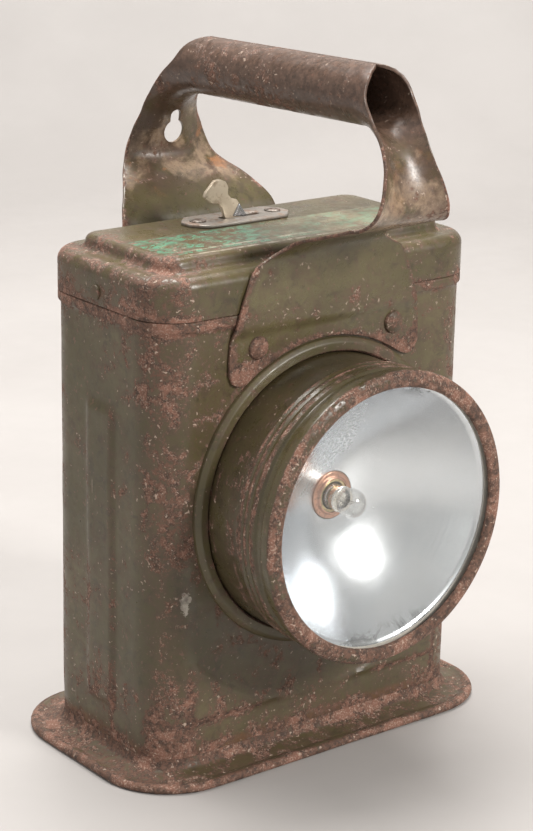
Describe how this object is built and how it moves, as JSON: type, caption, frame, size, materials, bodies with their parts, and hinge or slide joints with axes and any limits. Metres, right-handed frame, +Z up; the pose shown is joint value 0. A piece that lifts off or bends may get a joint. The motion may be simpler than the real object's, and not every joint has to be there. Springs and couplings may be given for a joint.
{
  "type": "electric miner's hand lamp",
  "caption": "Boxy sheet steel electric hand lamp for mine work, with a lift-off lid and switch, a screwed lens ring and a bent sheet carrying handle.",
  "frame": {"origin": "centre of the underside, on the floor plane", "axes": "+Z up along the case; the lens looks along -Y; X runs across the wide face"},
  "size_m": [0.1722, 0.1479, 0.2614],
  "materials": {
    "case_paint": "worn olive drab paint with rust",
    "flange_paint": "worn olive drab paint, rusty rim",
    "floor_paint": "rusty steel",
    "fibre": "vulcanised fibre, matte",
    "collar_paint": "worn olive drab paint",
    "drum_paint": "worn olive drab paint",
    "ring_paint": "worn olive drab paint, bare bright edges",
    "lens_glass": "clear flat glass",
    "gasket_rubber": "matte",
    "mirror_silver": "silvered, slightly tarnished",
    "copper": "dull copper",
    "brass_dull": "dull",
    "black_plastic": "matte",
    "bulb_glass": "clear glass",
    "filament_wire": "dull wire",
    "cell_jacket": "waxed card",
    "pitch": "pitch seal",
    "carbon": "carbon",
    "zinc": "dull zinc",
    "handle_paint": "olive paint worn to brown rust on the grip",
    "rivet_paint": "painted steel",
    "lid_paint": "worn olive drab paint, rust, faded green print area",
    "screw_steel": "rusty steel",
    "switch_plate_steel": "rusty steel with paint remains",
    "nickel_tan": "tarnished nickel"
  },
  "bodies": {
    "case": {"case_shell": "case_paint", "base_flange": "flange_paint", "bottom_plate": "floor_paint", "cell_pad": "fibre", "drum_collar": "collar_paint", "lens_drum": "drum_paint", "reflector": "mirror_silver", "reflector_collar": "copper", "socket_shell": "brass_dull", "socket_insulator": "black_plastic", "socket_contact": "brass_dull", "bulb_cap": "brass_dull", "bulb_stub": "black_plastic", "bulb_globe": "bulb_glass", "bulb_filament": "filament_wire", "cell_can_left": "cell_jacket", "cell_seal_left": "pitch", "carbon_rod_left": "carbon", "carbon_nut_left": "brass_dull", "zinc_post_left": "zinc", "cell_can_right": "cell_jacket", "cell_seal_right": "pitch", "carbon_rod_right": "carbon", "carbon_nut_right": "brass_dull", "zinc_post_right": "zinc", "cell_link": "brass_dull", "handle": "handle_paint", "rivet_front_left": "rivet_paint", "rivet_rear_left": "rivet_paint", "rivet_front_right": "rivet_paint", "rivet_rear_right": "rivet_paint"},
    "lid": {"lid_shell": "lid_paint", "lid_stud_left": "screw_steel", "lid_stud_right": "screw_steel", "switch_plate": "switch_plate_steel", "switch_screw_left": "screw_steel", "switch_screw_right": "screw_steel", "contact_board": "fibre", "lever_bracket": "brass_dull", "lever_pin": "screw_steel", "contact_spring": "brass_dull"},
    "switch_lever": {"switch_lever": "nickel_tan"},
    "lens_pack": {"lens_glass": "lens_glass", "lens_gasket": "gasket_rubber"},
    "lens_ring": {"lens_ring": "ring_paint"}
  },
  "joints": [
    {"name": "lid_lift", "type": "slide", "parent": "case", "child": "lid", "axis": [0, 0, 1], "range_m": [0, 0.02]},
    {"name": "switch_throw", "type": "hinge", "parent": "lid", "child": "switch_lever", "pos_m": [-0.002, 0.013, 0.1882], "axis": [0, 1, 0], "range_deg": [0, 50]},
    {"name": "lens_draw", "type": "slide", "parent": "case", "child": "lens_pack", "axis": [0, -1, 0], "range_m": [0, 0.0142]},
    {"name": "ring_turn", "type": "hinge", "parent": "lens_pack", "child": "lens_ring", "pos_m": [0, -0.066, 0.1004], "axis": [0, -1, 0], "range_deg": [0, 1260]}
  ],
  "couplings": [
    {"joint": "lens_draw", "follows": "ring_turn", "m_per_rad": 0.00063662}
  ]
}
